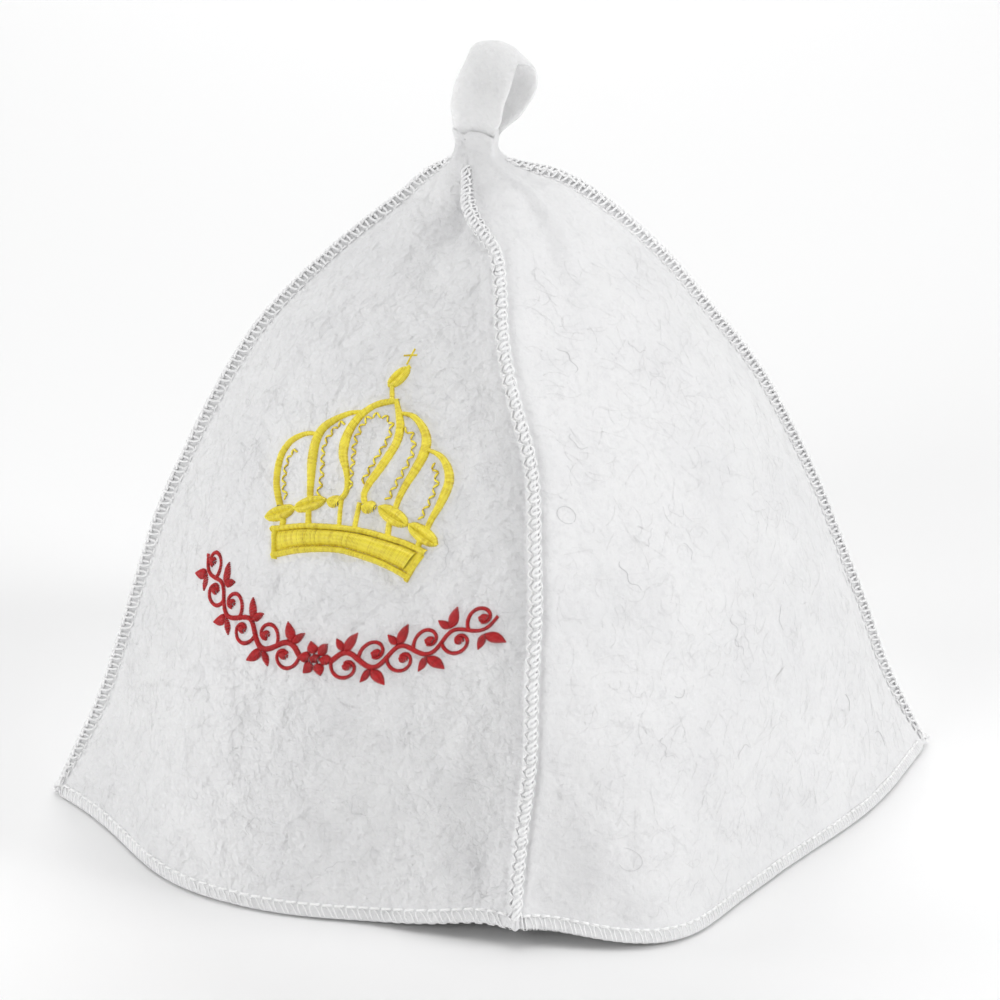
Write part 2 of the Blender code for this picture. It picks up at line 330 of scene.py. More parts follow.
# What an operator on such values does: it adds its Math node
def operator(operation, swapped=False):
    def combine(value, other):
        pair = (other, value) if swapped else (value, other)
        return value.shader.math(operation, *pair)
    return combine


for sign, operation in (("add", "ADD"), ("sub", "SUBTRACT"), ("mul", "MULTIPLY"), ("truediv", "DIVIDE")):
    setattr(Value, f"__{sign}__", operator(operation))
    setattr(Value, f"__r{sign}__", operator(operation, True))


class Shader:
    def __init__(self, name, **constants):
        self.material = bpy.data.materials.new(name)
        self.material.use_nodes = True
        tree = self.material.node_tree
        self.nodes, self.links = tree.nodes, tree.links
        self.surface = self.nodes["Principled BSDF"]
        self.finish(**constants)

    # A node: its type, what its sockets hold, the output wanted, and its settings
    def node(self, kind, sockets=None, output=0, **settings):
        made = self.nodes.new("ShaderNode" + kind)
        for setting, value in settings.items():
            setattr(made, setting, value)
        for socket, value in (sockets or {}).items():
            self.plug(made.inputs[socket], value)
        return Value(self, made.outputs[output])

    # The two values of the surface's map
    def mapped(self):
        u = self.node("SeparateXYZ", {0: self.node("UVMap", uv_map="surfaceMap")})
        return u, Value(self, u.socket.node.outputs[1])

    def plug(self, socket, value):
        if isinstance(value, Value):
            self.links.new(value.socket, socket)
        else:
            socket.default_value = value

    def math(self, operation, *values):
        return self.node("Math", dict(enumerate(values)), operation=operation)

    def clamp(self, value):
        return self.node("Math", {0: value, 1: 0.0}, operation="ADD", use_clamp=True)

    # A noise in the object's space, with its features about size mm across
    def noise(self, size, detail=2.0, rough=0.55, warp=0.0, turn=(0, 0, 0), scale=(1, 1, 1)):
        spot = self.node("TexCoord", output="Object")
        turned = tuple(radians(value) for value in turn)
        spot = self.node("Mapping", {"Vector": spot, "Rotation": turned, "Scale": scale})
        return self.node("TexNoise", {"Vector": spot, "Scale": 1 / (size * mm), "Detail": detail,
                                      "Roughness": rough, "Distortion": warp})

    def mixColour(self, factor, first, second):
        return self.node("Mix", {0: factor, 6: first, 7: second}, 2, data_type="RGBA")

    def bump(self, height, strength, distance):
        return self.node("Bump", {"Height": height, "Strength": strength, "Distance": distance * mm})

    # Values and links for the surface's sockets
    def finish(self, **sockets):
        for socket, value in sockets.items():
            self.plug(self.surface.inputs[socket.replace("_", " ")], value)


wool = {
    "light": (0.83, 0.83, 0.835, 1.0),
    "pore": (0.62, 0.62, 0.63, 1.0), "poreShare": 0.42,
    "cloud": (0.76, 0.76, 0.77, 1.0),
    # size, turn, stretch and share of the three layers of matted hair
    "hairs": ((1.5, (20, 35, 10), (1, 1, 0.45), 0.4), (2.6, (80, -20, 60), (0.5, 1, 1), 0.35),
              (4.2, (-40, 70, 25), (1, 0.55, 1), 0.25)),
    "sharpness": 5.0,
    "tuftSize": 1.7, "swellSize": 6.5, "cloudSize": 26.0,
    "depth": 0.8,  # of the fibres' relief
    "root": 5.2, "reach": 1.6,  # on the map, where the dimples lie and how far they spread
    "farFromSeam": 60.0,  # on the map, for felt without dimples
}
# thread looks: how dark painted shade makes a strand where it dives into the felt and how far that reaches,
# and how dark painted shade makes the grooves between the plies
yarn = {"patchSize": 2.5, "patches": 0.9, "diveReach": 0.5, "diveShade": 0.75, "ply": 0.12, "depth": 0.08}
stitchPitch = 3.35


# Matted wool: each layer of hair is the line where a warped, stretched noise crosses its middle value,
# 1 - |2 noise - 1| * sharpness. Pores between the hairs are darker, and soft clouds run through it.
# Beside a seam the felt dimples at each stitch, exp(-((u - root) / reach)^2) * cos(2 pi v / pitch)
def feltMaterial(name, depth=1.0, tint=1.0, **glow):
    shader = Shader(name, Roughness=0.95, Sheen_Weight=0.25, Sheen_Roughness=0.5, IOR=1.35, **glow)
    hairs = []
    for size, turn, stretch, share in wool["hairs"]:
        value = shader.noise(size, 2.0, 0.6, 0.9, turn, stretch)
        crossing = 1.0 - abs(value * 2.0 - 1.0) * wool["sharpness"]
        hairs.append(shader.math("MAXIMUM", crossing, 0.0) * share)
    hair = sum(hairs)
    tufts = shader.noise(wool["tuftSize"], 3.0, 0.62)
    swells = shader.noise(wool["swellSize"])
    clouds = shader.noise(wool["cloudSize"], rough=0.5)
    toSeam, along = shader.mapped()
    fromRoot = (toSeam - wool["root"]) / wool["reach"]
    pull = shader.math("EXPONENT", fromRoot * fromRoot * -1.0)
    dimple = pull * shader.math("COSINE", along * (2 * pi / stitchPitch))
    pores = shader.clamp((tufts - 0.44) * 2.4 + (swells - 0.5) * 1.2 - hair * 0.35)
    tone = shader.mixColour(shader.clamp((clouds - 0.5) * 1.6 + 0.2), wool["light"], wool["cloud"])
    tone = shader.mixColour(pores * wool["poreShare"], tone, wool["pore"])
    height = hair * 0.12 - tufts * 0.6 + swells * 2.6 + dimple * 0.16
    if tint < 1:
        tone = shader.mixColour(tint, (0.0, 0.0, 0.0, 1.0), tone)
    shader.finish(Base_Color=tone, Normal=shader.bump(height, 1.0, wool["depth"] * depth))
    return shader.material


# Twisted thread: plies, sin(2 pi (turns along + down)), on the tube's own map, as bump and as painted shade
# in the grooves between them. A strand is darker in uneven patches and by a tone of its own, darker towards
# its underside by painted shade, and darker where it dives in by painted shade, exp(-(u / reach)^2)
def threadMaterial(name, colour, shade, roughness, twist, ownTone=0.25):
    # shade is the darker colour that painted shade and the random tones pull a strand towards
    shader = Shader(name, Roughness=roughness, Sheen_Weight=0.15, Sheen_Roughness=0.4)
    along, across = shader.mapped()
    down = shader.math("FRACT", across)
    own = shader.math("FLOOR", across) / 9.0
    ply = shader.math("SINE", (along / twist + down) * (2 * pi))
    patch = shader.noise(yarn["patchSize"], rough=0.6)
    # painted shade where the strand dives into the felt
    diveShade = shader.math("EXPONENT", along * along * (-1 / yarn["diveReach"] ** 2))
    uneven = (patch - 0.5) * yarn["patches"] + (own - 0.5) * ownTone + diveShade * yarn["diveShade"]
    # painted shade towards the strand's underside and in the ply grooves, added to the random tones
    toneAndPaintedShade = shader.clamp(down * 1.5 - 0.15 - ply * yarn["ply"] + uneven)
    normal = shader.bump(ply, 0.35, yarn["depth"])
    shader.finish(Base_Color=shader.mixColour(toneAndPaintedShade, colour, shade), Normal=normal)
    return shader.material


loopGlow = {"Subsurface_Weight": 0.9, "Subsurface_Radius": (1, 1, 1), "Subsurface_Scale": 0.012}
whiteFelt = feltMaterial("whiteFelt", 1.3)
smoothFelt = feltMaterial("smoothFelt", 0.55)
loopFelt = feltMaterial("loopFelt", 0.9, 0.87, **loopGlow)
# the second colour of each thread is where its painted shade and random tones lead
whiteThread = threadMaterial("whiteThread", (0.97, 0.97, 0.97, 1), (0.90, 0.90, 0.905, 1), 0.42, 0.9)
goldThread = threadMaterial("goldThread", (1.0, 0.87, 0.085, 1), (0.54, 0.34, 0.004, 1), 0.27, 1.1, 0.45)
redThread = threadMaterial("redThread", (0.58, 0.014, 0.018, 1), (0.17, 0.004, 0.006, 1), 0.45, 1.1, 0.5)
greyWool = Shader("greyWool", Base_Color=(0.60, 0.60, 0.61, 1), Roughness=0.8).material
print("materials made")


# the felt's lumps
relief = {"waves": 46, "shortest": 4.5, "longest": 16.0, "height": 0.286}
waveTurn = chance.normal(size=(relief["waves"], 3))
waveLength = chance.uniform(relief["shortest"], relief["longest"], relief["waves"])
wavePhase = chance.uniform(0, 2 * pi, relief["waves"])


# Lumps of the felt: the mean of many plane waves with random directions, lengths and phases
def lumps(points):
    total = np.zeros(points.shape[:-1])
    for turn, length, phase in zip(unit(waveTurn), waveLength, wavePhase):
        total += np.sin(points @ turn * (2 * pi / length) + phase) * length / relief["longest"]
    return total * relief["height"] * sqrt(2 / relief["waves"])


# The same on a gore, dying out towards its stitched edges
def goreLumps(points, share, height):
    fromSeam = 2 * np.minimum(share, 1 - share)
    return lumps(points) * ease(height, 1, 9) * ease(fromSeam, 0, 0.1) * loose(height)


goreGrid = {"finPoints": 8, "panelPoints": 112, "bodyRows": 118, "tipRows": 26, "even": 0.55}


def goreRows():
    hem = np.array([0, 0.2, 0.5, 0.9, 1.4, 2.1, 2.9, 3.6, 4.4, 5.4, 6.6, 8.0])
    body = np.linspace(9.5, 178, goreGrid["bodyRows"])
    tip = np.linspace(179.2, neck["height"][-1], goreGrid["tipRows"])
    return np.concatenate([hem, body, tip])[:, None]


# How much of the felt's thickness is left: rounded at the hem's edge, thin at the gathered tip
def thicknessAt(height):
    atHem = np.clip(height / felt["hemRound"], 0, 1)
    rounded = np.sqrt(np.clip(1 - (1 - atHem) ** 2, 0, 1))
    thin = felt["lipFelt"] / felt["wall"]
    return (0.12 + 0.88 * rounded) * (1 - (1 - thin) * ease(height, neck["start"], neck["height"][-1]))


# Radius of a seam's root, drawn in by the thread
def seamRadius(seam, height):
    angle = seamAngle(seam, height)
    radius = gathered(crownAt("seam", height) + foldSum("push", angle, height), angle, height)
    return radius - felt["rootGroove"] * loose(height)


# Outer and inner face of a gore, a row for each height: the first seam's fin from its edge to its root, the
# panel, the last seam's fin. A fin's outer face is a quarter of a superellipse, aside = layer * cos(t)^0.6,
# out = fin * sin(t)^0.8. In the neck both fins lie down on its outline
def goreFaces(gore):
    height = goreRows()
    first, last = gores[gore]
    even = np.linspace(0, 1, goreGrid["panelPoints"])[None, :]
    share = goreGrid["even"] * even + (1 - goreGrid["even"]) * hump(even / 2)
    angle = goreAngle(gore, share, height)
    slope = wallSlope(height)
    left = thicknessAt(height)
    wall = felt["wall"] * slope * left
    radius = wallRadius(share, angle, height)
    bulge = felt["wall"] * (1 - left) / 2 * (height < neck["start"])
    fromSeam = np.radians(np.minimum(angle - angle[:, :1], angle[:, -1:] - angle)) * radius
    groove = felt["rootGroove"] * np.exp(-fromSeam / felt["grooveReach"]) * loose(height)
    radius = radius - bulge * slope - groove
    turn = np.gradient(radius, axis=1) / np.gradient(np.radians(angle), axis=1) / radius
    inner = radius - wall * np.hypot(1.0, turn)

    outerPanel = place(radius, angle, 0.0, height)
    normal = unit(np.cross(np.gradient(outerPanel, axis=1), np.gradient(outerPanel, axis=0)))
    outerPanel = outerPanel + normal * goreLumps(outerPanel, share, height)[..., None]
    innerPanel = place(inner, angle, 0.0, height)
    innerPanel = innerPanel - normal * lumps(innerPanel + 40.0)[..., None] * 0.7

    fin = crownAt("fin", height) * slope * loose(height)
    finPoints = goreGrid["finPoints"] + 1
    quarter = np.linspace(pi / 2, 0, finPoints)[None, :-1]
    outward = np.sin(quarter) ** 0.8
    spread = np.cos(quarter) ** 0.6
    reach = np.linspace(1, 0, finPoints)[None, :-1] * 0.97
    near = 0.01
    inNeck = closing(height)[..., None]
    sides = []
    for seam, way, column in ((first, 1, 0), (last, -1, -1)):
        at = seamAngle(seam, height)
        root = radius[:, [column]]
        out = seamRadius(seam, height) + fin - root
        tip = finLean[seam] * way * np.minimum(fin / slope / felt["fullFin"], 1)
        far = near + felt["finPressed"] * spread * (0.2 + 0.8 * left)
        outerFin = place(root + out * outward, at, way * (far + tip * outward), height)
        hollow = root - wall * (1 - reach) + out * reach
        innerFin = place(hollow, at, way * (near + tip * reach), height)
        crease = place(root - wall * 1.05, at, way * near, height)
        innerFin = np.concatenate([innerFin, crease], axis=1)

        toPanel = np.abs((angle[:, [column]] - at + 180) % 360 - 180)
        turned = at + way * toPanel * np.linspace(0.01, 1, finPoints)[None, :]
        skin = wallRadius(0.0, turned, height)
        outerFin = outerFin + (place(skin, turned, 0.0, height)[:, :-1] - outerFin) * inNeck
        innerFin = innerFin + (place(skin - wall, turned, 0.0, height) - innerFin) * inNeck
        sides.append((outerFin, innerFin))

    outer = np.concatenate([sides[0][0], outerPanel, sides[1][0][:, ::-1]], axis=1)
    inner = np.concatenate([sides[0][1], innerPanel[:, 1:-1], sides[1][1][:, ::-1]], axis=1)
    return outer, inner


def makeGore(gore):
    outer, inner = goreFaces(gore)
    points = np.stack((outer, inner))
    index = np.arange(points.size // 3).reshape(points.shape[:3])
    faces = [gridFaces(index[0]), gridFaces(index[1][:, ::-1])]
    for edge in (index[:, 0, ::-1], index[:, -1, :], index[:, :, 0], index[:, ::-1, -1]):
        faces.append(gridFaces(edge))
    # the map: distance to the nearest seam and length up the felt
    across = lengths(outer, 1)
    toSeam = np.minimum(across, across[:, -1:] - across) + wool["farFromSeam"] * closing(goreRows())
    uv = np.stack((toSeam, lengths(outer)), axis=-1).reshape(-1, 2)
    name = gore.replace("_panel", "_felt")
    look = smoothFelt if "right" in gore else whiteFelt
    piece = meshPiece(name, points.reshape(-1, 3), faces, look, np.concatenate([uv, uv]))
    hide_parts(gore)


for gore in gores:
    makeGore(gore)
print("gores made")

loop = {
    "felt": 2.5, "turn": -30, "foot": -4.8, "stations": 220, "sides": 44,
    "depth": (-1.30, -1.30, -1.35, -2.4, -4.8, -7.6, -9, -8.4, -5, 0, 5.2, 8.8, 9.2, 7.4, 4.6, 2.4,
              1.35, 1.30, 1.30),
    "height": (184, 188.8, 193.2, 197, 200.8, 205.2, 210.6, 216, 220.3, 222.1, 219.8, 214.8, 208.8,
               204, 200.2, 196.8, 193.2, 188.8, 184),
    "shift": (0, 0, 0, 0.4, 1.6, 3.3, 5.1, 6.3, 6.5, 6.5, 6.8, 7.2, 6.4, 4.4, 1.9, 0.4, 0, 0, 0),
    "width": (9.2, 9.6, 10.4, 11.6, 13.4, 15, 15.8, 15.6, 14.6, 14.2, 14.8, 15.8, 16.2, 15, 13.2,
              11.6, 10.4, 9.6, 9.2),
    "cup": (0, 0, 0, 0, -0.7, -1.7, -0.8, 1.2, 2.6, 3, 2.8, 1.8, 1, 0.6, 0.4, 0.1, 0, 0, 0),
    "tilt": (0, 0, 0, 0, 0, -1, -3, -6, -10, -13, -13, -8, -4, -2, 0, 0, 0, 0, 0),
}


# Strip carried along the loop's path:
# point = path + side * half width * x + outward * (half felt * y - cup * x^2),
# with (x, y) round a flat superellipse, x = cos(t)^0.45, y = sin(t)^0.8
def makeLoop():
    rows = np.arange(len(loop["depth"]))
    at = np.linspace(0, rows[-1], loop["stations"])
    columns = ("depth", "height", "shift", "width", "cup", "tilt")
    strip = {key: curveThrough(rows, loop[key], at) for key in columns}
    turn = radians(loop["turn"])
    across = np.array([cos(turn), sin(turn), 0.0])
    deep = np.array([-sin(turn), cos(turn), 0.0])
    upright = np.array([0.0, 0.0, 1.0])
    foot = np.array([loop["foot"] - centre[0], -centre[1], 0.0])
    path = foot + np.outer(strip["shift"], across) + np.outer(strip["depth"], deep)
    path = path + np.outer(strip["height"], upright)
    along = unit(np.gradient(path, axis=0))
    tilt = np.radians(strip["tilt"])[:, None]
    side = squareTo(along, across * np.cos(tilt) + upright * np.sin(tilt))
    outward = np.cross(side, along)

    t = np.linspace(0, 2 * pi, loop["sides"], endpoint=False)
    x = np.sign(np.cos(t)) * np.abs(np.cos(t)) ** 0.45
    y = np.sign(np.sin(t)) * np.abs(np.sin(t)) ** 0.8
    half = strip["width"][:, None, None] / 2
    rise = loop["felt"] / 2 * y[None, :, None] - strip["cup"][:, None, None] * (x * x)[None, :, None]
    points = path[:, None] + side[:, None] * half * x[None, :, None] + outward[:, None] * rise
    outwards = unit(side[:, None] * (x ** 3)[None, :, None] + outward[:, None] * y[None, :, None])
    points = points + outwards * lumps(points)[..., None] * 0.8

    index = np.arange(loop["stations"] * loop["sides"]).reshape(points.shape[:2])
    closed = np.concatenate([index, index[:, :1]], axis=1)
    faces = [gridFaces(closed[:, ::-1]), index[:1], index[-1:, ::-1]]
    uv = np.full((index.size, 2), wool["farFromSeam"])
    piece = meshPiece("hanging_loop_felt", points.reshape(-1, 3), faces, loopFelt, uv)
    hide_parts("hanging_loop")


makeLoop()
print("loop made")

stitch = {
    "pitch": stitchPitch,
    "looper": 0.28, "fat": 0.24,  # radius of the thread that wraps the edge, and its swelling there
    "swell": 1.3,  # how far from the edge the swelling reaches
    "backLooper": 0.25,
    "needle": 0.34,
    "slant": -2.4,  # how far a wrap leans along the seam
    "together": 0.5,  # share of a stitch between the two strands of a wrap
    "over": 0.75,  # how far a wrap goes round the edge
    "chain": (-0.7, -1.9),  # the back looper's chain lies between these, round the edge from its middle
    "chainLift": (0.20, 0.62),  # its height over the felt at those two
    "rail": 1.6,  # a long strand for each stitch lies here on the first side
    "lift": 0.7, "edgeLift": 0.3,
    "sunk": 0.35,  # how deep a needle stitch starts in the felt
    "jitter": 0.045,
    "upperPoints": 18, "lowerPoints": 14, "needlePoints": 6,
    "sides": 5,
}


# An edge of cloth as arrays along it: its place, the direction into the cloth, the direction its first face
# looks, half its thickness, and how deep the needle goes in
def edgeLine(edge, into, facing, half, depth):
    return {"s": lengths(edge), "edge": edge, "into": unit(into), "facing": unit(facing),
            "half": np.full(len(edge), half), "depth": np.broadcast_to(depth, len(edge))}


def alongLine(line, key, s):
    values = line[key]
    if values.ndim == 1:
        return np.interp(s, line["s"], values)
    return np.stack([np.interp(s, line["s"], values[:, axis]) for axis in range(3)], axis=-1)


# A point s along the edge and w round it, + on the first face, lifted off the cloth:
# depth = half (1 - cos), aside = half sin, then straight into the cloth
def onEdge(line, s, w, lift):
    edge, into, facing, half = (alongLine(line, key, s) for key in ("edge", "into", "facing", "half"))
    turn = np.minimum(np.abs(w) / half, pi / 2)
    side = np.sign(w)
    depth = half * (1 - np.cos(turn)) + np.maximum(np.abs(w) - half * pi / 2, 0) - np.cos(turn) * lift
    aside = side * half * np.sin(turn) + side * np.sin(turn) * lift
    return edge + depth[..., None] * into + aside[..., None] * facing


# Threads along an edge, with c the share of a stitch and S its hump.
# Wrap: w = need - (need + over) S, s = pitch (i + stair(c)) - slant w / need, where stair climbs by the
# share "together" while the wrap turns at the edge and by the rest at the needle.
# Back looper: w from the chain's crest to -need and back. Chain: w between its two bounds, sin(pi c).
# Needle: short stitches along w = need on both faces
def overlock(name, line, look):
    pitch = look["pitch"]
    count = int(line["s"][-1] / pitch)
    number = np.arange(count)[:, None]
    need = alongLine(line, "depth", number * pitch)
    uneven = chance.normal(0, look["jitter"], size=(4, count, 1))
    parts = []

    def thread(s, w, lift, radius):
        path = onEdge(line, s, w, lift).reshape(1, -1, 3)
        guide = unit(alongLine(line, "edge", s + 0.5) - alongLine(line, "edge", s - 0.5) + 1e-9)
        radius = np.broadcast_to(radius, s.shape).reshape(1, -1)
        parts.append(tubes(path, radius, look["sides"], guide.reshape(path.shape)))

    c = np.linspace(0, 1, look["upperPoints"], endpoint=False)
    apart = look["together"]
    stair = apart * ease(c, 0.36, 0.64) + (1 - apart) * (ease(c, -0.2, 0.2) + ease(c, 0.8, 1.2) - 0.5)
    w = need - (need + look["over"] + uneven[1]) * hump(c)
    s = pitch * (number + stair + uneven[0] * hump(c)) - look["slant"] * w / need
    swell = np.exp(-(w / look["swell"]) ** 2)
    lift = look["looper"] * (look["lift"] + (look["edgeLift"] - look["lift"]) * swell)
    thread(s, w, lift, look["looper"] + look["fat"] * swell)

    c = np.linspace(0, 1, look["lowerPoints"], endpoint=False)
    crest, trough = look["chain"]
    w = -need + (need + crest) * hump(c)
    s = pitch * (number + c + 0.5 + uneven[2] * hump(c))
    thread(s, w, look["lift"] * look["backLooper"] * 0.8, look["backLooper"])
    arc = np.sin(pi * c)
    s = pitch * (number + c + 0.10 * np.sin(2 * pi * c) + uneven[3] * arc)
    low, high = look["chainLift"]
    thread(s, crest + (trough - crest) * arc, low + (high - low) * arc, look["backLooper"])

    t = np.linspace(0, 1, look["needlePoints"])
    arch = np.sin(pi * t) ** 0.5
    # w, share of the pitch, turn and height
    dashes = [(need + 0.1, 0.80, look["needleTurn"], 0.3), (-need - 0.1, 0.5, 0.0, 0.3)]
    if look["rail"] > 0:
        dashes.append((look["rail"] + 0 * need, 0.80, -0.5, 0.55))
    for across, reach, turn, top in dashes:
        s = pitch * (number + 0.5 - reach / 2 + reach * t)
        lift = (look["sunk"] + top) * arch - look["sunk"]
        path = onEdge(line, s, across + turn * (t - 0.5), lift)
        parts.append(tubes(path, look["needle"], look["sides"], alongLine(line, "facing", s)))

    strandPiece(name, parts, whiteThread)


# Edge of a seam's fin from the hem to the tip
def finLine(seam, facing, top):
    height = np.linspace(1.5, top, 1400)
    angle = seamAngle(seam, height)
    root = place(seamRadius(seam, height), angle, 0.0, height)
    along = unit(np.gradient(root, axis=0))
    turned = np.radians(angle)
    outward = squareTo(along, np.stack([np.cos(turned), np.sin(turned), 0 * turned], axis=-1))
    aside = unit(np.cross(along, outward))
    fin = (crownAt("fin", height) * loose(height))[:, None]
    edge = root + outward * fin + aside * finLean[seam] * np.minimum(fin / felt["fullFin"], 1)
    into = unit(root - edge)
    depth = np.maximum(fin[:, 0] + 0.5, 1.4)
    return edgeLine(edge, into, squareTo(into, aside) * facing, felt["finPressed"], depth)


seamFacing = {"front": 1, "right": -1, "back": 1, "left": 1}
sideStitch = {**stitch, "looper": 0.38, "fat": 0.08, "slant": -1.2, "edgeLift": -0.2,
              "chainLift": (0.0, 0.2)}
for seam, facing in seamFacing.items():
    look, top = (stitch, 187.3) if seam == "front" else (sideStitch, 190.5)
    overlock(seam + "_seam_stitching", finLine(seam, facing, top), {**look, "needleTurn": 0.0})

tail = {"turns": 3, "points": 42, "radius": 0.5, "coil": 0.9, "taper": 0.35, "drop": 0.6, "row": 20}


# The overlock runs on past a seam's foot as a coil: line + coil * (aside cos a + up sin a) * (1 - taper t)
def makeTail(seam, length):
    line = finLine(seam, 1, 20.0)
    t = np.linspace(0, 1, tail["points"])[:, None]
    out, upward = unit(line["into"][tail["row"]] * (-1, -1, 0)), np.array([0.0, 0.0, 1.0])
    aside = np.cross(out, upward)
    turn = t * tail["turns"] * 2 * pi
    coil = (aside * np.cos(turn) + upward * np.sin(turn)) * tail["coil"] * (1 - tail["taper"] * t)
    path = line["edge"][tail["row"]] + out * (length * t - tail["coil"]) - upward * tail["drop"] + coil
    parts = [tubes(path[None], tail["radius"], 6, upward)]
    strandPiece(seam + "_seam_tail", parts, whiteThread)


makeTail("right", 2.6)
makeTail("left", 2.0)
print("seams stitched")


# Edge of the hem under one gore: the middle of the felt at height 0
def hemLine(gore):
    share = np.linspace(0.0, 1.0, 600)
    outside = panelPoint(gore, share, 0 * share)
    above = panelPoint(gore, share, 0 * share + 4.9)
    normal = panelNormal(gore, share, 0 * share + 1.0)
    return edgeLine(outside - normal * felt["wall"] / 2, above - outside, normal, felt["wall"] / 2, 4.5)


hemStitch = {**stitch, "looper": 0.2, "fat": 0.0, "backLooper": 0.16, "needle": 0.42, "over": 0.4,
             "together": 0.36, "chain": (-0.9, -1.8), "chainLift": (-0.3, -0.3), "rail": 0, "lift": 0.25,
             "edgeLift": -1.7, "needleTurn": 0.1}
# pitch and slant
hemRuns = {"front_left_panel": (3.45, 2.6), "front_right_panel": (2.75, 1.2),
           "back_right_panel": (3.2, 1.6), "back_left_panel": (3.2, 1.6)}
for gore, (pitch, slant) in hemRuns.items():
    look = {**hemStitch, "pitch": pitch, "slant": slant}
    overlock(gore.replace("_panel", "_hem_stitching"), hemLine(gore), look)
print("hem stitched")


sewn = {"spacing": 0.40, "thread": 0.21, "rise": 1.05, "sunk": 0.35, "rings": 7, "sides": 5, "slant": 0.18,
        "fullWidth": 2.2, "jitter": 0.05}
# places along a thread, closer together towards its ends
rings = 0.5 - 0.5 * np.cos(np.linspace(0, pi, sewn["rings"]))


# Height and width of a gore for lengths up its middle line
def flatPanel(gore):
    height = np.linspace(0, 185, 240)[:, None]
    points = panelPoint(gore, np.linspace(0, 1, 121)[None, :], height)
    width = np.linalg.norm(np.diff(points, axis=1), axis=-1).sum(axis=1)
    return {"gore": gore, "height": height[:, 0], "width": width, "up": lengths(points[:, 60])}


# A point u across and v up the flat gore, lifted off the felt, and the normal there
def onGore(flat, u, v, lift):
    height = np.interp(v, flat["up"], flat["height"])
    share = 0.5 + u / np.interp(height, flat["height"], flat["width"])
    normal = panelNormal(flat["gore"], share, height)
    point = panelPoint(flat["gore"], share, height)
    rise = lift + goreLumps(point, share, height)
    return point + normal * rise[..., None], normal


# Steps along a smooth line through rows: middle, direction, square to it, and the other values
def alongRows(rows, spacing):
    columns = np.array(rows, float).T
    steps = np.concatenate([[0], np.cumsum(np.hypot(np.diff(columns[0]), np.diff(columns[1])))])
    at = np.linspace(0, steps[-1], max(int(round(steps[-1] / spacing)), 2) + 1)
    smooth = np.stack([curveThrough(steps, column, at) for column in columns], axis=-1)
    along = unit(np.gradient(smooth[:, :2], axis=0))
    return smooth[:, :2], along, np.stack((-along[:, 1], along[:, 0]), axis=-1), smooth[:, 2:]


# How high a thread lies: (top + sunk) sin(pi t)^power - sunk
def arched(top, power):
    return (top + sewn["sunk"]) * np.sin(pi * rings) ** power - sewn["sunk"]


# Satin stitch: threads across a stroke given by rows of x, y and width, arched over it
def satin(rows, rise=1.0):
    middle, along, across, width = alongRows(rows, sewn["spacing"])
    jitter = chance.normal(0, sewn["jitter"], (len(middle), 2))
    reach = (rings - 0.5) * (width + jitter[:, :1])
    spot = middle[:, None] + across[:, None] * reach[..., None]
    spot = spot + along[:, None] * (sewn["slant"] * reach)[..., None]
    full = np.minimum(width / sewn["fullWidth"], 1) ** 0.5
    return spot, arched(sewn["rise"] * rise * full + jitter[:, 1:] * 0.5, 0.75)


# Threads from one edge of a shape to the other
def fill(bottomRows, topRows, rise):
    count = int(48 / sewn["spacing"])
    edges = []
    for rows in (bottomRows, topRows):
        middle = alongRows(rows, 0.12)[0]
        at = np.linspace(0, len(middle) - 1, count)
        steps = np.arange(len(middle))
        edges.append(np.stack([np.interp(at, steps, column) for column in middle.T], axis=-1))
    spot = edges[0][:, None] + (edges[1] - edges[0])[:, None] * rings[:, None]
    return spot, arched(sewn["rise"] * rise + chance.normal(0, 0.04, (count, 1)), 0.4)


# Running stitches in a zigzag along a line
def zigzag(rows, step=1.5, swing=0.85):
    middle, _, across, _ = alongRows(rows, step)
    corners = middle + across * (swing * (-1.0) ** np.arange(len(middle)))[:, None]
    t = np.linspace(0, 1, sewn["rings"])
    spot = corners[:-1, None] + (corners[1:] - corners[:-1])[:, None] * (0.12 + 0.76 * t)[:, None]
    lift = np.broadcast_to(0.62 * np.sin(pi * t) ** 0.6 - 0.22, spot.shape[:2])
    return spot, lift, 1.5


# Two crescents round a slit over a low layer, from one end of an oval to the other
def oval(start, end, width, rise=1.0):
    t = np.linspace(0, 1, 9)
    axis = np.subtract(end, start)
    square = np.array((-axis[1], axis[0])) / np.hypot(*axis)
    bow = np.sin(pi * t) ** 0.55
    line = np.array(start) + np.outer(t, axis)
    parts = [satin(np.column_stack((line, 0.6 + bow * width * 0.6)), rise * 0.35)]
    for side in (-1, 1):
        middle = line + np.outer(side * bow * width * 0.30, square)
        parts.append(satin(np.column_stack((middle, 0.7 + bow * width * 0.36)), rise))
    return parts


def ball(x, y, radius, rise=1.1):
    t = np.linspace(-0.97, 0.97, 9)
    return satin(np.column_stack((x + radius * t, 0 * t + y, 2 * radius * np.sqrt(1 - t * t))), rise)


def leaf(start, end, width, rise=0.8):
    t = np.linspace(0, 1, 7)
    middle = np.array(start) + np.outer(t, np.subtract(end, start))
    return satin(np.column_stack((middle, 0.35 + width * np.sin(pi * t ** 0.8) ** 0.9)), rise)


# Everything sewn in one thread, as one mesh on the gore
def sew(name, strokes, material, radius):
    thick = np.concatenate([np.full(len(one[0]), one[2] if len(one) > 2 else 1.0) for one in strokes])
    spots = np.concatenate([one[0] for one in strokes])
    lifts = np.concatenate([np.broadcast_to(one[1], one[0].shape[:2]) for one in strokes])
    flat = flatPanel("front_left_panel")
    paths, normals = onGore(flat, spots[..., 0] + crownPlace[0], spots[..., 1] + crownPlace[1], lifts)
    parts = [tubes(paths, radius * thick[:, None], sewn["sides"], normals)]
    strandPiece(name, parts, material)


crownPlace = (12.5, 97)  # where the crown's foot and middle line lie on the gore
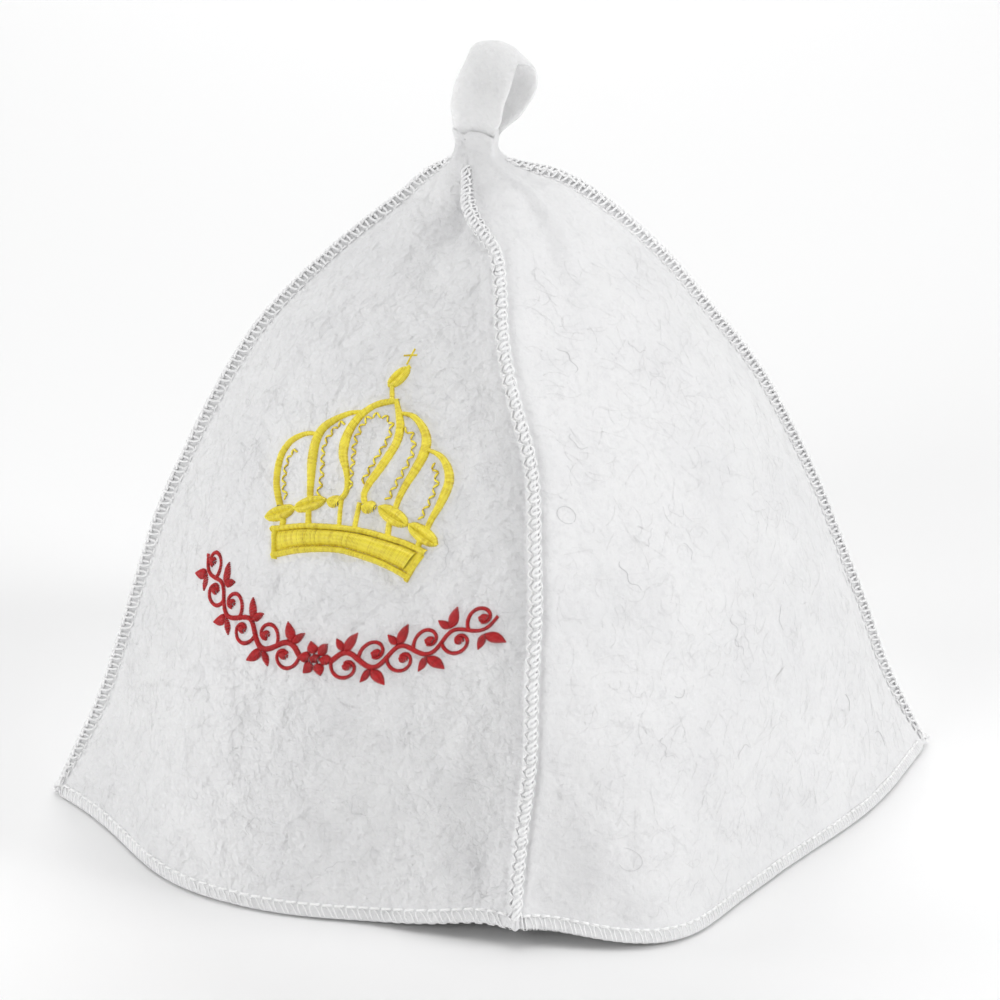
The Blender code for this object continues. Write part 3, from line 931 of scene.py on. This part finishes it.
# The crown's rows are x, y and width
arches = {
    "outer left": ((-17.4, 36.3, 0.9), (-20.9, 35.8, 1.1), (-24.2, 34.2, 1.5), (-27.6, 31.5, 2.1),
        (-29.2, 28, 2.5), (-28.8, 24.4, 2.6), (-27.2, 20.4, 2.4), (-25.1, 17.2, 2.2),
        (-23.5, 14.6, 2.1)),
    "outer right": ((15.9, 37, 0.9), (18.5, 36.4, 1.1), (21.1, 35.4, 1.5), (23.7, 32.8, 2.2),
        (25.5, 29, 2.8), (25.5, 24.7, 2.9), (24.7, 20.4, 2.4), (23.7, 17.4, 2), (23.2, 14.9, 1.8)),
    "second left": ((-3.4, 45.6, 0.9), (-9.6, 44, 1.4), (-13.6, 41.5, 2), (-16.8, 37.8, 2.6),
        (-17.9, 33.8, 3.1), (-17.3, 29.5, 3.3), (-16.1, 25.5, 2.9), (-14.9, 22.1, 2.3),
        (-13.7, 19, 1.9)),
    "second right": ((5.9, 46.6, 0.9), (10, 46.1, 1.5), (13.5, 43.5, 2.1), (15.7, 40.1, 2.7),
        (16.1, 35.6, 3.1), (14.8, 30.7, 2.9), (13.3, 26.5, 2.3), (12.5, 22.5, 1.9), (12.3, 19.4, 1.7)),
    "centre left": ((4.6, 50.1, 1.3), (1.5, 49.2, 1.7), (-2.6, 46.9, 1.8), (-5.7, 43.5, 2.3),
        (-7.6, 39.4, 2.8), (-8, 35.4, 3.2), (-7.3, 32.1, 2.8), (-5.6, 29.1, 2.1), (-4, 25.7, 1.8),
        (-3.5, 21.9, 1.8), (-4.8, 19.8, 1.8)),
    "centre right": ((4.1, 49.9, 1.3), (6, 46.1, 1.9), (7.4, 42.5, 2.5), (7.5, 38.6, 2.7),
        (6.1, 34.2, 2.7), (4.3, 29.1, 2.5), (2.7, 25.3, 2.1), (2.2, 22.5, 1.7), (3.1, 20.2, 1.6)),
}
bandTop = ((-24, 8.5), (-17.2, 10.7), (-10, 12.4), (-2.7, 13.3), (4.5, 13.3), (11.7, 12.2),
    (18, 10.9), (24.5, 9))
bandFoot = ((-21.4, 0.2), (-14.5, 2.9), (-7.7, 4.8), (-0.5, 5.7), (5.8, 4.9), (12, 3.5),
    (16.9, 1.8), (21.4, 0))
border = {"width": 1.6, "inset": 0.8}
crownZigzags = (
    ((-23.2, 30.5), (-25.2, 29.1), (-25.8, 27.2), (-25.5, 24.6), (-24.9, 22.1), (-23.9, 19.8),
        (-21.9, 16.6)),
    ((-9.7, 41.5), (-11.7, 40.7), (-12.9, 38.6), (-13.9, 36.6), (-14.6, 34.2), (-14.5, 32.1),
        (-13.7, 29.7), (-12.9, 27.2), (-12.2, 24.7), (-11.7, 22.1), (-11.4, 19.8)),
    ((-2.2, 23.4), (-3, 25.9), (-3.5, 29.3), (-4, 32.1), (-4.7, 34.6), (-5, 37.6), (-4.5, 39.9),
        (-3.5, 42.9), (-1.9, 44.6), (0.4, 45.2), (2.9, 44.6), (4.6, 43.2), (4.9, 41.3), (4.6, 39.4),
        (4, 37.2), (3.2, 34.8), (2.6, 32.5), (2, 30.3), (1.4, 28), (0.7, 25.5)),
    ((8.6, 41.9), (10.9, 41.1), (12.4, 38.4), (12.9, 35.8), (12.4, 33.2), (11.8, 30.9), (11, 28.2),
        (10.2, 25.5), (9.7, 22.8), (9, 21.4)),
    ((19.4, 33), (21.4, 30.1), (22.3, 27.2), (22.2, 24.9), (21.8, 22.3), (21, 19.6), (20.4, 16.8)),
)
# start, end and width
crownOvals = (
    ((-27.3, 10.1), (-18.2, 14.9), 3.5), ((-17.9, 15), (-8.8, 19.3), 3.6),
    ((7.6, 19.6), (17.1, 15.2), 4), ((17.7, 15.4), (27.2, 10.7), 3.9),
    ((0.7, 54), (4.8, 59.9), 3.7),
)
crownStems = (
    ((-21.3, 11.2), (-20.9, 8.8), 2.3), ((-13.3, 16), (-11.9, 11.6), 1.9),
    ((-4, 20), (-2.4, 13), 1.4), ((1.7, 20), (2.2, 13.2), 1.5),
    ((11.7, 16), (12.4, 11.4), 1.8), ((22.1, 11.4), (21.7, 9), 2),
    ((3, 49.4), (1.5, 54.4), 1.3), ((3.5, 58.4), (4.9, 60.6), 1.3),
    ((1.9, 63.7), (5.4, 64.5), 0.3), ((3.8, 61.2), (4, 66.2), 0.3),
)


def bandBorder():
    width, inset = border["width"], border["inset"]
    edges = []
    for end, way in ((0, 1), (-1, -1)):
        (topX, topY), (footX, footY) = bandTop[end], bandFoot[end]
        edges.append([(topX + way * inset, topY, width), (footX + way * inset * 0.9, footY, width)])
    edges.append([(x, y - inset, width) for x, y in bandTop])
    edges.append([(x, y + inset, width) for x, y in bandFoot])
    return [satin(rows, 1.3) for rows in edges]


# Threads of the band from low over its foot to high under its top
def bandFill(low, high, rise):
    return fill([(x, y + low) for x, y in bandFoot], [(x, y - high) for x, y in bandTop], rise)


def crownStrokes():
    strokes = [zigzag(rows) for rows in crownZigzags]
    strokes += [satin((start + (width,), end + (width,)), 0.8) for start, end, width in crownStems]
    for name, rows in arches.items():
        strokes.append(satin(rows, 1.2 if "centre" in name else 1.05))
    for start, end, width in crownOvals:
        strokes += oval(start, end, width, 1.25)
    strokes += [ball(-6.0, 19.4, 1.9, 1.4), ball(4.7, 19.2, 1.9, 1.4)]
    inside = border["inset"] + border["width"] / 2 - 0.05
    strokes.append(bandFill(inside, inside, 0.3))
    spot, lift = bandFill(inside + 0.55, inside + 0.15, 1.5)
    strokes.append((spot[7:-7], lift[7:-7]))
    return strokes + bandBorder()


sew("embroidered_crown", crownStrokes(), goldThread, sewn["thread"])

# Red vine on an arc under the crown, mirrored about a small flower
vine = {
    "radius": 79.0, "centre": 55.0,  # the arc, in the crown's millimetres
    "start": 5.0, "bends": 6, "bend": 8.0, "swing": 2.4,
    "stem": 1.5, "curl": 1.1, "berry": 1.25, "petal": 2.9, "petals": 6,
    # foot and tip along the arc from a bend's crest, height over the stem, and width
    "leaves": ((-0.6, 2.8, 5.2, 2.9), (-1, -3.6, 3.6, 2.03)),
}


# s along the arc from its middle to the mirror's side, n towards its centre
def onArc(s, n, mirror=1):
    turn = np.asarray(s) / vine["radius"]
    reach = vine["radius"] - np.asarray(n)
    x, y = reach * np.sin(turn), vine["centre"] - reach * np.cos(turn)
    return np.stack(np.broadcast_arrays(x, y), axis=-1) * (mirror, 1)


# One half: stem n = swing sin(pi (s - start) / bend), dying out as 1 - (s / length)^3 / 2, and in each bend
# a spiral, radius 1.2 + 3.9 (1 - t)^1.8 over 0.9 of a turn, which ends in a berry
def vineHalf(mirror):
    start, bend, swing = vine["start"], vine["bend"], vine["swing"]
    length = vine["bends"] * bend
    s = np.linspace(0, length, 80)
    stem = swing * np.sin(pi * s / bend) * (1 - 0.5 * (s / length) ** 3)
    thinning = vine["stem"] * (1.1 - 0.5 * s / length)
    strokes = [satin(np.column_stack((onArc(start + s, stem, mirror), thinning)))]
    t = np.linspace(0, 1, 26)
    angle = radians(162) + radians(330) * t
    reach = 1.2 + 3.9 * (1 - t) ** 1.8
    for number in range(vine["bends"]):
        side = (-1) ** number
        crest = start + bend * (number + 0.5)
        s, n = crest + 0.6, -side * 1.5
        curl = onArc(s + reach * np.cos(angle), n + side * reach * np.sin(angle), mirror)
        strokes.append(satin(np.column_stack((curl, vine["curl"] * (1.0 - 0.2 * t))), 0.8))
        strokes.append(ball(*onArc(s, n, mirror), vine["berry"]))
        for foot, tip, height, width in vine["leaves"]:
            base = onArc(crest + foot, side * (swing + 0.5), mirror)
            end = onArc(crest + tip, side * (swing + height), mirror)
            strokes.append(leaf(base, end, width))
    return strokes


def vineStrokes():
    strokes = vineHalf(1) + vineHalf(-1)
    middle = onArc(0, 0)
    for number in range(vine["petals"]):
        turn = 2 * pi * (number + 0.5) / vine["petals"]
        way = np.array((sin(turn), cos(turn)))
        strokes.append(leaf(middle + way * 1.4, middle + way * 5.0, vine["petal"], 1.0))
    strokes.append(ball(middle[0], middle[1], 1.3, 1.5))
    return strokes


sew("embroidered_vine", vineStrokes(), redThread, sewn["thread"] * 0.9)
print("embroidery sewn")

# loose fibres on each gore; bend is in radians
fuzz = {"count": 1000, "length": (3.5, 9.0), "bend": 1.6, "wave": 0.0, "lift": (0.06, 0.28), "radius": 0.03,
        "points": 6, "sides": 3}
greyHairs = {"count": 6, "length": (4.0, 12.0), "bend": 3.0, "wave": 0.5, "lift": 0.06,
             "radius": (0.03, 0.05), "points": 16, "sides": 4}


# Hairs that lie on a gore: each starts somewhere, heads one way and bends, lift sin(pi t)^0.7 off the felt
def hairs(gore, u, v, heading, length, bend, wave, lift, radius, points, sides):
    flat = flatPanel(gore)
    t = np.linspace(0, 1, points)[None, :]
    turn = heading[:, None] + bend[:, None] * t + wave * np.sin(2 * pi * 2 * t + heading[:, None])
    step = (length / (points - 1))[:, None]
    x = u[:, None] + np.cumsum(np.cos(turn) * step, axis=1)
    y = v[:, None] + np.cumsum(np.sin(turn) * step, axis=1)
    y = np.clip(y, 1.0, flat["up"][-1])
    halfWidth = np.interp(y, flat["up"], flat["width"]) / 2 - 1.0
    height = lift[:, None] * np.sin(pi * t) ** 0.7
    paths, normals = onGore(flat, np.clip(x, -halfWidth, halfWidth), y, height)
    return tubes(paths, radius, sides, normals)


# A draw between two bounds, or one value for all
def between(bounds, shape):
    return chance.uniform(*bounds, shape) if isinstance(bounds, tuple) else np.full(shape, bounds)


# Hairs spread evenly over every gore, by keeping places up it in proportion to its width there
def scattered(look):
    parts = []
    for gore in gores:
        flat = flatPanel(gore)
        v = chance.uniform(3, 185, look["count"] * 2)
        halfWidth = np.interp(v, flat["up"], flat["width"]) / 2
        wide = chance.uniform(0, 1, len(v)) < halfWidth / halfWidth.max()
        kept = np.flatnonzero(wide)[:look["count"]]
        count = len(kept)
        u = chance.uniform(-0.95, 0.95, count) * halfWidth[kept]
        heading = chance.uniform(0, 2 * pi, count)
        length = chance.uniform(*look["length"], count)
        bend = chance.normal(0, look["bend"], count)
        lift = between(look["lift"], count)
        radius = between(look["radius"], (count, 1))
        parts.append(hairs(gore, u, v[kept], heading, length, bend, look["wave"], lift, radius,
                           look["points"], look["sides"]))
    return parts


# grey hairs caught in the front right gore: u, v, heading, length, bend and wave
caughtHairs = (
    (-51.5, 113.0, 20, 15, 350, 0), (-38.4, 137.5, 215, 8, 150, 30), (-26.1, 162.7, -50, 10, -70, 40),
    (-1.7, 160.0, 250, 8, 120, 30), (-42.2, 101.1, -100, 11, 60, 40), (-37.8, 62.5, -60, 5, 140, 0),
    (-44.2, 52.5, -120, 10, 90, 60), (-8.6, 78.0, -110, 17, 50, 60), (-65.2, 22.0, -75, 14, 260, 10),
    (66.0, 17.0, 10, 9, -110, 0), (8.0, 113.4, 80, 2.5, 0, 0), (-33.6, 33.7, 200, 3, 60, 0),
    (-20.0, 96.0, 30, 6, 120, 20), (14.0, 66.0, 160, 9, -140, 20), (-12.0, 40.0, 130, 8, 130, 20),
    (48.0, 30.0, 60, 7, 100, 10),
)


def caught():
    parts = []
    for row in caughtHairs:
        u, v, heading, length, bend, wave = np.array(row, float)[:, None]
        parts.append(hairs("front_right_panel", u, v, np.radians(heading), length, np.radians(bend),
                           np.radians(wave), np.array([0.12]), chance.uniform(0.045, 0.075), 20, 4))
    return parts


strandPiece("felt_fuzz", scattered(fuzz), loopFelt, wool["farFromSeam"])
strandPiece("loose_grey_hairs", caught() + scattered(greyHairs), greyWool)
print("fibres laid")

# scale is the size of a pixel at the aim
view = {
    "azimuth": -7.5, "elevation": 20.0, "distance": 1100.0, "scale": 0.29,
    "aim": (-centre[0], -centre[1], 100.0),
    "aimPixel": (493.5, 453.7), "pictureSize": 1000, "sensor": 36.0,
}
azimuth, elevation = radians(view["azimuth"]), radians(view["elevation"])
back = np.array([sin(azimuth) * cos(elevation), -cos(azimuth) * cos(elevation),
                 sin(elevation)])
eye = np.array(view["aim"]) + back * view["distance"]
data = bpy.data.cameras.new("camera")
data.sensor_width = view["sensor"]
data.lens = view["sensor"] * view["distance"] / view["scale"] / view["pictureSize"]
data.shift_x = 0.5 - view["aimPixel"][0] / view["pictureSize"]
data.shift_y = view["aimPixel"][1] / view["pictureSize"] - 0.5
data.clip_end = 30.0
camera = addObject("camera", data)
camera.location = eye * mm
camera.rotation_euler = (pi / 2 - elevation, 0.0, azimuth)
bpy.context.scene.camera = camera

size = 6.0
mesh = bpy.data.meshes.new("floor")
corners = [(-size, -size, 0), (size, -size, 0), (size, size, 0), (-size, size, 0)]
mesh.from_pydata(corners, [], [(0, 1, 2, 3)])
mesh.materials.append(Shader("floorPaper", Base_Color=(0.93, 0.93, 0.93, 1), Roughness=0.9).material)
floor = addObject("floor", mesh)
floor.location = (0, 0, -0.0006)  # just under the stitches of the hem

# place (m), size (m) and power (W) of soft round lamps
lamps = {
    "key from the right": ((1.5, -0.7, 0.7), 0.9, 16.2),
    "overhead": ((0.0, 0.0, 1.6), 1.6, 11.0),
    "from behind": ((0.2, 1.6, 1.1), 1.2, 14.4),
    "from the left": ((-1.1, -1.2, 0.7), 0.8, 9.4),
    "low on the left": ((-1.6, 0.3, 0.3), 0.5, 6.8),
}
lampAim = (0.0, 0.0, 0.1)
worldStrength = 0.15
world = bpy.data.worlds.new("softbox")
world.use_nodes = True
background = world.node_tree.nodes["Background"]
background.inputs["Color"].default_value = (1, 1, 1, 1)
background.inputs["Strength"].default_value = worldStrength
bpy.context.scene.world = world
for name, (spot, size, power) in lamps.items():
    data = bpy.data.lights.new(name, "AREA")
    data.shape = "DISK"
    data.size = size
    data.energy = power
    lamp = addObject(name, data)
    away = np.array(spot) - np.array(lampAim)
    lamp.location = spot
    lean = acos(away[2] / np.linalg.norm(away))
    lamp.rotation_euler = (lean, 0.0, atan2(away[0], -away[1]))

bpy.context.scene.view_settings.view_transform = "Standard"

print("scene ready")
